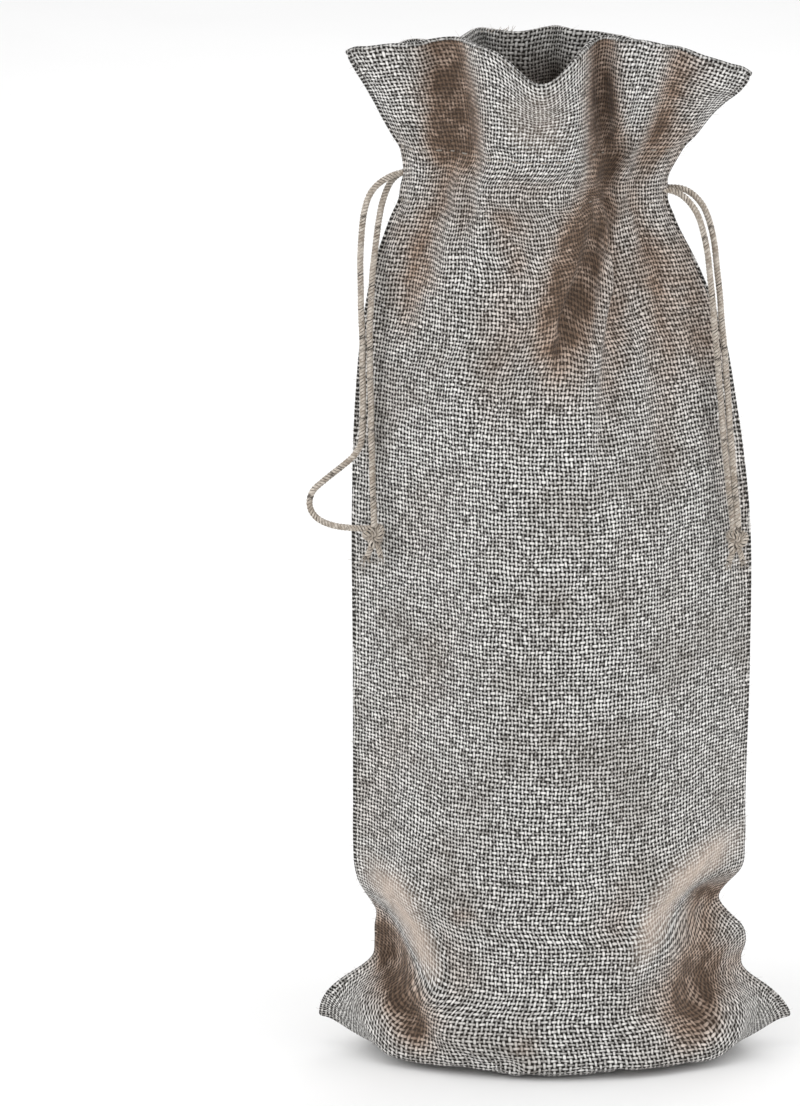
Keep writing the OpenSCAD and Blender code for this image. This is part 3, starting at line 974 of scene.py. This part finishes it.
def build_knot(side):
    """An overhand knot tied in both ends together, and their short frayed ends."""
    rng = np.random.default_rng(11 if side == "left" else 12)
    middle = np.array(KNOTS[side])
    t = np.linspace(0.12, 2.0 * math.pi - 0.12, 90)
    loop = np.stack([(np.sin(t) + 2.0 * np.sin(2.0 * t)) * 0.88, -np.sin(3.0 * t) * 1.25,
                     (np.cos(t) - 2.0 * np.cos(2.0 * t)) * 0.92], axis=1)
    lean = math.radians(18 if side == "left" else -14)
    turned = np.stack([loop[:, 0] * math.cos(lean) - loop[:, 2] * math.sin(lean), loop[:, 1],
                       loop[:, 0] * math.sin(lean) + loop[:, 2] * math.cos(lean)], axis=1)
    parts = []
    for shift in (-0.55, 0.55):
        end_of_two = middle + turned * (1.0 + 0.06 * shift) + [0.3 * shift, shift, 0.4 * shift]
        parts.append(plied(end_of_two, 1.9, twist=2.8, spacing=0.3, phase=shift * 3))
    for k, (dx, dy, drop) in enumerate([(-1.7, -0.4, 7.5), (1.5, -0.8, 6.2)]):
        start = middle + [0.4 * dx, dy, -2.2]
        end = middle + [dx * 1.25, dy - 0.6, -2.2 - drop * 0.55]
        bent = np.array([start, (start + end) / 2 + [0.2, -0.2, 0.1], end])
        parts.append(plied(bent, 1.8, twist=2.8, spacing=0.3, phase=k))
        roots = end + rng.normal(0.0, 0.45, (16, 3)) * [1, 1, 0.3]
        parts.append(hairs(rng, roots, np.tile([0.12 * dx, -0.1, -1.0], (16, 1)), drop * 0.5, 0.11))
    around = rng.normal(0.0, 1.0, (14, 3))
    around /= np.linalg.norm(around, axis=1, keepdims=True)
    around[:, 1] = -np.abs(around[:, 1])
    parts.append(hairs(rng, middle + around * 3.0, around, 2.2, 0.06))
    return add_object(f"{side}_knot_tied", joined(parts), f"{side}_drawstring", "twine", [f"{side}_knot"])


def string_with_fibres(path, width, rng):
    """Twisted twine along a path, with short loose fibres along it."""
    picks = rng.integers(6, len(path) - 6, FIBRES_PER_END)
    directions = rng.normal(0.0, 1.0, (FIBRES_PER_END, 3))
    roots = path[picks] + directions / np.linalg.norm(directions, axis=1, keepdims=True) * width * 0.4
    return joined([plied(path, width), hairs(rng, roots, directions, 1.5, 0.035)])


class GIFTBAG_OT_strings(bpy.types.Operator):
    """Add the free ends of both drawstrings, from the slits to their knots"""

    bl_idname = "giftbag.strings"
    bl_label = "String ends and knots"

    def execute(self, context):
        width = sizes().twine_diameter / MM
        knots = {side: build_knot(side) for side in KNOTS}
        for number, (node, route) in enumerate(ROUTES.items()):
            side = node.split("_")[0]
            rng = np.random.default_rng(40 + number)
            path = respaced(catmull(route, 8), 0.7)
            shape = string_with_fibres(path, width, rng)
            obj = add_object(f"{node}_twine", shape, f"{side}_drawstring", "twine", [node])
        return {"FINISHED"}


STRING_DEPTH = 2.1  # from a panel to the middle of the string behind it


class GIFTBAG_OT_casing_strings(bpy.types.Operator):
    """Add the runs of both drawstrings inside the casing"""

    bl_idname = "giftbag.casing_strings"
    bl_label = "Strings in the casing"

    def execute(self, context):
        width = sizes().twine_diameter / MM
        for side, height in STRING_HEIGHTS.items():
            near, far = (3.0, COLUMNS - 2.0) if side == "left" else (COLUMNS - 3.0, 2.0)
            columns = np.linspace(near, far, 70)
            t = np.full(len(columns), flat_height(height - 0.6))
            runs = []
            for panel_side in (FRONT, BACK):
                points, normals = on_panel(panel_side, t, columns)
                runs.append(points - normals * STRING_DEPTH)
            path = respaced(np.concatenate([runs[0], runs[1][::-1]]), 1.0)
            path = np.stack([np.convolve(np.pad(path[:, c], 3, mode="edge"), np.ones(7) / 7, mode="valid")
                             for c in range(3)], axis=1)
            shape = plied(path, width, spacing=1.0, sides=6)
            add_object(f"{side}_string_in_casing", shape, "bag", "twine", [f"{side}_drawstring_loop"])
        return {"FINISHED"}


# ---------------------------------------------------------------- cloth pieces

SLIT_LOW, SLIT_HIGH = 262.0, 276.5
SLIT_GAP = 2.1  # half of the slit's opening


def opened_slit(grid, side, heights):
    """Parts the last columns of a panel beside the string slits."""
    grid = grid.copy()
    window = smooth((heights - SLIT_LOW) / 3.0) * smooth((SLIT_HIGH - heights) / 3.0)
    for k, share in enumerate((1.0, 0.55, 0.2)):
        for column in (k, COLUMNS - k):
            grid[:, column, 1] += side * SLIT_GAP * share * window
    return grid


def ridges(heights, middles, width):
    """Rounded ridges across the cloth, each 1 high at its own middle."""
    return sum(np.exp(-(((heights - middle) / width) ** 2)) for middle in middles)


def casing_relief(heights):
    """How far the cloth stands out over the strings and is drawn in at the two casing seams."""
    seams = ridges(heights, (CASING_LOW, CASING_HIGH), 1.7)
    strings = ridges(heights, STRING_HEIGHTS.values(), 2.2)
    return 0.75 * strings - 0.9 * seams


def add_cloth(name, grid, places, slot, replaced, side=FRONT, shade=None, layers=1.0, offset=-1.0):
    """A piece of cloth from a grid of points, rounded between them and given its thickness."""
    rows, columns = grid.shape[:2]
    shape = grid.reshape(-1, 3), grid_faces(rows, columns, side == BACK), places
    obj = add_object(name, shape, "bag", slot, [replaced], np.zeros(len(places)) if shade is None else shade)
    rounding = obj.modifiers.new("Rounding", "SUBSURF")
    rounding.levels = rounding.render_levels = 1
    solid = obj.modifiers.new("Thickness", "SOLIDIFY")
    solid.thickness = sizes().cloth_thickness * layers
    solid.offset = offset
    return obj


def sew(name, shape, replaced):
    """A piece of sewing thread in the bag."""
    return add_object(name, shape, "bag", "sewing_thread", [replaced])


class GIFTBAG_OT_panels(bpy.types.Operator):
    """Add the front and back panels"""

    bl_idname = "giftbag.panels"
    bl_label = "Panels"

    def execute(self, context):
        heights = np.array([standing_height(t) for t in row_heights()])
        places = cloth_places(np.linspace(0.0, cut_width(), COLUMNS + 1), row_heights())
        for side, name in SIDE_NAMES.items():
            grid = panel_points()[side]
            grid = grid + grid_normals(grid, side) * casing_relief(heights)[:, None, None]
            x, z = grid[:, :, 0], grid[:, :, 2]
            press = crease_depth(x, z, CREASES[side])
            # Painted shade: the cloth is browned where the creases press deep and in the hollows of its folds,
            # kept as fold_shade.
            pressed = 0.065 * np.maximum(0.0, press - 1.0) * (1.0 - 0.75 * smooth((z - 284.0) / 24.0))
            # Painted shade and painted highlight from the front's table of places.
            tint = crease_depth(x, z, FRONT_PAINTED_SHADE_AND_HIGHLIGHT) if side == FRONT else 0.0
            hollows = blurred(fold_shade(grid, side)[:, :, None], 6)[:, :, 0]
            shade = np.clip(1.1 * hollows + pressed + tint, -1.0, 1.0)
            grid = opened_slit(grid, side, heights)
            obj = add_cloth(f"{name}_cloth", grid, places, "bag_cloth", f"{name}_panel", side, shade)
        return {"FINISHED"}


FACING_ROW = 117  # the panel's row at which the facing ends
RIM_TURN = 1.0  # radius of the turn over the rim
TURN_ROWS = 4


def facing_points(side):
    """The facing's rows over the rim and down inside the panel, with their places on the cloth and heights."""
    whole = panel_points()[side]
    normal = grid_normals(blurred(whole, 2), side)
    top, top_normal = whole[-1], grid_normals(whole, side)[-1]
    up = whole[-1] - whole[-2]
    up /= np.linalg.norm(up, axis=1, keepdims=True)
    rows, flat = [top], [cut_height()]
    middle = top - top_normal * RIM_TURN
    for step in range(1, TURN_ROWS + 1):
        angle = math.pi * step / TURN_ROWS
        rows.append(middle + RIM_TURN * (math.cos(angle) * top_normal + math.sin(angle) * up))
        flat.append(cut_height() + RIM_TURN * angle)
    heights = [standing_height(cut_height())] * len(rows)
    for j in range(ROWS - 1, FACING_ROW - 1, -1):
        z = standing_height(row_heights()[j])
        channel = 2.0 * float(smooth((z - CASING_LOW + 1.0) / 4.0) * smooth((CASING_HIGH + 1.0 - z) / 4.0))
        rows.append(whole[j] - normal[j] * (2 * RIM_TURN + channel))
        flat.append(flat[-1] + cut_height() / ROWS)
        heights.append(z)
    return np.array(rows), np.array(flat), np.array(heights)


class GIFTBAG_OT_facings(bpy.types.Operator):
    """Add the turned-in facings that line the header and close the casing"""

    bl_idname = "giftbag.facings"
    bl_label = "Facings"

    def execute(self, context):
        across = np.linspace(0.0, cut_width(), COLUMNS + 1)
        for side, name in SIDE_NAMES.items():
            rows, flat, heights = facing_points(side)
            rows = opened_slit(rows, side, heights)
            inner = rows[TURN_ROWS + 1:]
            for k, least in enumerate((0.0, 0.15)):
                for column in (k, COLUMNS - k):
                    inner[:, column, 1] = side * np.maximum(side * inner[:, column, 1], least)
            # Painted shade, darker further down inside the bag below the rim.
            shade = np.repeat(smooth((310.0 - heights) / 30.0), COLUMNS + 1)
            obj = add_cloth(f"{name}_facing_cloth", rows, cloth_places(across, flat), "facing_cloth",
                            f"{name}_facing", side, shade)
        return {"FINISHED"}


SEWING_RADIUS = 0.26


def thread_stitches(points, normals, length, pitch, lift):
    """Stitches that rise out of the cloth and dip back in, along a line of points with its normals."""
    travel = travelled(points)
    rise = lift * np.sin(np.linspace(0.0, math.pi, 7)) - 0.25
    rise[0] = rise[-1] = -0.7
    parts = []
    start = 1.0
    while start + length < travel[-1] - 1.0:
        at = np.linspace(start, start + length, len(rise))
        middle = read_along(points, travel, at)
        parts.append(tube(middle + read_along(normals, travel, at) * rise[:, None], SEWING_RADIUS, 6))
        start += pitch
    return joined(parts)


class GIFTBAG_OT_casing_seams(bpy.types.Operator):
    """Add the stitches of the casing's two seams on both panels"""

    bl_idname = "giftbag.casing_seams"
    bl_label = "Casing stitches"

    def execute(self, context):
        length = sizes().stitch_length / MM
        columns = np.linspace(1.2, COLUMNS - 1.2, 300)
        for side, name in SIDE_NAMES.items():
            for level, height in (("lower", CASING_LOW), ("upper", CASING_HIGH)):
                points, normals = on_panel(side, np.full(len(columns), flat_height(height)), columns)
                points = points + normals * casing_relief(np.array([height]))[0]
                shape = thread_stitches(points, normals, length, length * 1.35, 0.55)
                sew(f"{name}_{level}_casing_seam", shape, f"{name}_casing_{level}_stitching")
        return {"FINISHED"}


SIDE_SEAM_ROWS = (12, 112)  # rows of a panel between which the side seams' edges show inside


class GIFTBAG_OT_side_seams(bpy.types.Operator):
    """Add the turned-in edges and stitches of the side and bottom seams, inside the bag"""

    bl_idname = "giftbag.side_seams"
    bl_label = "Inner seams"

    def execute(self, context):
        length = sizes().stitch_length / MM
        row_pitch = cut_height() / ROWS
        front = panel_points()[FRONT]
        low, high = SIDE_SEAM_ROWS
        for name, column, inward in (("left", 0, 1.0), ("right", COLUMNS, -1.0)):
            seam = front[low:high, column]
            wave = 0.25 * np.sin(np.arange(high - low) * 0.9)
            rows = []
            for k, reach in enumerate((1.6, 3.4, 5.4, 7.4, 9.2)):
                line = seam + [inward * reach, 0.0, 0.0]
                line[:, 1] += wave * k * 0.5
                rows.append(line)
            rows = np.array(rows)
            places = cloth_places(np.arange(high - low) * row_pitch, [0, 1.8, 3.8, 5.8, 7.6])
            add_cloth(f"{name}_seam_edges", rows, places, "seam_edges", f"{name}_seam_allowance",
                      layers=1.5, offset=0.0)
            edge = respaced(rows[-1], 0.5)
            climb = np.arange(len(edge)) * 0.5 * 1.9
            overlock = edge + np.stack([inward * -0.9 * (1 + np.cos(climb)), 1.1 * np.sin(climb),
                                        np.zeros(len(edge))], axis=1)
            line = respaced(rows[1], 0.8)
            out = np.tile([0.0, -1.0, 0.0], (len(line), 1))
            shape = joined([tube(overlock, 0.22, 5), thread_stitches(line, out, length, length * 1.25, 1.2)])
            sew(f"{name}_seam_thread", shape, f"{name}_seam_stitching")

        middle = front[0, 6:COLUMNS - 5]
        rows = np.array([middle + [0.0, reach, 1.9 + 0.15 * k]
                         for k, reach in enumerate((0.3, 2.6, 5.0, 7.4))])
        places = cloth_places(np.arange(len(middle)) * row_pitch, [0.0, 2.3, 4.7, 7.1])
        add_cloth("bottom_seam_edges", rows, places, "seam_edges", "bottom_seam_allowance",
                  layers=1.2, offset=0.0)
        line = respaced(rows[1], 0.8)
        out = np.tile([0.0, 0.0, 1.0], (len(line), 1))
        shape = thread_stitches(line, out, length, length * 1.25, 1.1)
        sew("bottom_seam_thread", shape, "bottom_seam_stitching")
        return {"FINISHED"}


TACK_TURNS = 5


class GIFTBAG_OT_slit_tacks(bpy.types.Operator):
    """Add the bar tacks above and below both string slits"""

    bl_idname = "giftbag.slit_tacks"
    bl_label = "Slit tacks"

    def execute(self, context):
        for name, column, inward in (("left", 0, 1.0), ("right", COLUMNS, -1.0)):
            parts = []
            for height in (SLIT_LOW - 1.2, SLIT_HIGH + 1.2):
                edge, _ = on_panel(FRONT, np.array([flat_height(height)]), np.array([column]))
                middle = edge[0] + [inward * 1.9, 0.0, 0.0]
                turn = np.linspace(0.0, 2.0 * math.pi * TACK_TURNS, 90)
                wrap = np.stack([middle[0] + 0.7 * np.cos(turn), middle[1] + 1.05 * np.sin(turn),
                                 middle[2] + np.linspace(-0.8, 0.8, len(turn))], axis=1)
                parts.append(tube(wrap, 0.17, 5))
            sew(f"{name}_bar_tacks", joined(parts), f"{name}_slit_tacks")
        return {"FINISHED"}


RIM_FIBRES, FACE_FIBRES, SEAM_FIBRES, TUFT_FIBRES = 90, 260, 110, 40


class GIFTBAG_OT_loose_fibres(bpy.types.Operator):
    """Add the loose fibres that stand off the rim and seams"""

    bl_idname = "giftbag.loose_fibres"
    bl_label = "Loose fibres"

    def execute(self, context):
        rng = np.random.default_rng(5)
        rim = cut_height() - 0.1
        seam_top = cut_height() - 1.0
        parts = []
        for side in (FRONT, BACK):
            points, normals = on_panel(side, np.full(RIM_FIBRES, rim), rng.uniform(0, COLUMNS, RIM_FIBRES))
            parts.append(hairs(rng, points, normals * 0.5 + [0, 0, 1.0], 1.6, 0.045))
            points, normals = on_panel(side, rng.uniform(40, seam_top, FACE_FIBRES),
                                       rng.uniform(0, COLUMNS, FACE_FIBRES))
            parts.append(hairs(rng, points, normals, 1.2, 0.035))
        for column, outward in ((0, -1.0), (COLUMNS, 1.0)):
            points, _ = on_panel(FRONT, rng.uniform(2, seam_top, SEAM_FIBRES), np.full(SEAM_FIBRES, column))
            parts.append(hairs(rng, points, np.tile([outward, 0.0, 0.1], (SEAM_FIBRES, 1)), 1.5, 0.045))
        tuft, _ = on_panel(BACK, np.array([rim]), np.array([26.0]))
        roots = tuft[0] + rng.normal(0.0, 0.8, (TUFT_FIBRES, 3)) * [2.2, 0.6, 0.3]
        parts.append(hairs(rng, roots, np.tile([0.8, 0.0, 0.5], (TUFT_FIBRES, 1)), 1.9, 0.12))
        shape = joined(parts)
        shape[0][:, 2] = np.maximum(shape[0][:, 2], FLOOR_GAP)
        add_object("loose_fibres", shape, "bag", "twine")
        return {"FINISHED"}


# ---------------------------------------------------------------- stage

SWEEP_RADIUS, SWEEP_SIDES = 6.0, 96
SENSOR_HEIGHT = 36.0
CAMERA_AIM = (-0.0468, 0.0, 0.1540)
CAMERA_ELEVATION = math.radians(14.0)
CAMERA_DISTANCE = 3.5
FRAME_HEIGHT = 0.3305  # height of the picture at the bag
LAMP_AIM = (0.0, 0.0, 0.16)
# Place, size and power of each lamp.
SOFTBOXES = {
    "left_softbox": ((-1.15, -0.75, 0.75), 0.7, 4.5),
    "right_softbox": ((1.25, -0.65, 0.55), 0.7, 3.5),
    "top_softbox": ((-0.1, -0.5, 1.5), 0.9, 2.0),
    "rear_softbox": ((0.3, 1.2, 0.9), 0.8, 3.0),
}


class GIFTBAG_OT_stage(bpy.types.Operator):
    """Add the camera, soft lights and pale floor"""

    bl_idname = "giftbag.stage"
    bl_label = "Stage"

    def execute(self, context):
        scene = context.scene
        camera = bpy.data.cameras.new("camera")
        camera.sensor_fit = "VERTICAL"
        camera.sensor_height = SENSOR_HEIGHT
        camera.lens = SENSOR_HEIGHT * CAMERA_DISTANCE / FRAME_HEIGHT
        camera.clip_end = 30.0
        holder = linked_object("camera", camera)
        backwards = Vector((0.0, -math.cos(CAMERA_ELEVATION), math.sin(CAMERA_ELEVATION)))
        holder.location = Vector(CAMERA_AIM) + CAMERA_DISTANCE * backwards
        holder.rotation_euler = (math.pi / 2 - CAMERA_ELEVATION, 0.0, 0.0)
        scene.camera = holder

        turn = [2.0 * math.pi * k / SWEEP_SIDES for k in range(SWEEP_SIDES)]
        rim = [(SWEEP_RADIUS * math.cos(a), SWEEP_RADIUS * math.sin(a), 0.0) for a in turn]
        floor = mesh_object("floor", rim, [range(SWEEP_SIDES)])
        floor.data.materials.append(backdrop_material(colours().sweep))

        for name, (place, size, power) in SOFTBOXES.items():
            light = bpy.data.lights.new(name, "AREA")
            light.size = size
            light.energy = power
            lamp = linked_object(name, light)
            lamp.location = place
            lamp.rotation_euler = (Vector(LAMP_AIM) - Vector(place)).to_track_quat("-Z", "Y").to_euler()

        world = bpy.data.worlds.new("studio")
        world.use_nodes = True
        background = world.node_tree.nodes["Background"]
        background.inputs["Color"].default_value = (1.0, 1.0, 1.0, 1.0)
        background.inputs["Strength"].default_value = 0.92
        scene.world = world
        scene.view_settings.view_transform = "Standard"
        return {"FINISHED"}


# ---------------------------------------------------------------- panel and registration

STEPS = (
    GIFTBAG_OT_stage, GIFTBAG_OT_strings, GIFTBAG_OT_side_seams, GIFTBAG_OT_panels, GIFTBAG_OT_facings,
    GIFTBAG_OT_casing_strings, GIFTBAG_OT_casing_seams, GIFTBAG_OT_slit_tacks, GIFTBAG_OT_loose_fibres,
)


class GIFTBAG_PT_panel(bpy.types.Panel):
    """Sizes, colours and building steps of the bag"""

    bl_label = "Gift bag"
    bl_idname = "GIFTBAG_PT_panel"
    bl_space_type = "VIEW_3D"
    bl_region_type = "UI"
    bl_category = "Gift bag"

    def draw(self, context):
        for group in (context.scene.gift_bag_sizes, context.scene.gift_bag_colours):
            box = self.layout.box()
            for name in group.__annotations__:
                box.prop(group, name)
        for step in STEPS:
            self.layout.operator(step.bl_idname)


CLASSES = (GIFTBAG_PG_sizes, GIFTBAG_PG_colours, *STEPS, GIFTBAG_PT_panel)


def register():
    """Makes the bag's classes and settings known to Blender."""
    for cls in CLASSES:
        bpy.utils.register_class(cls)
    bpy.types.Scene.gift_bag_sizes = PointerProperty(type=GIFTBAG_PG_sizes)
    bpy.types.Scene.gift_bag_colours = PointerProperty(type=GIFTBAG_PG_colours)


def unregister():
    """Takes them away again."""
    del bpy.types.Scene.gift_bag_colours
    del bpy.types.Scene.gift_bag_sizes
    for cls in reversed(CLASSES):
        bpy.utils.unregister_class(cls)


def main():
    """Builds the bag and its stage step by step."""
    register()
    for step in STEPS:
        group, name = step.bl_idname.split(".")
        getattr(getattr(bpy.ops, group), name)()


if __name__ == "__main__":
    main()
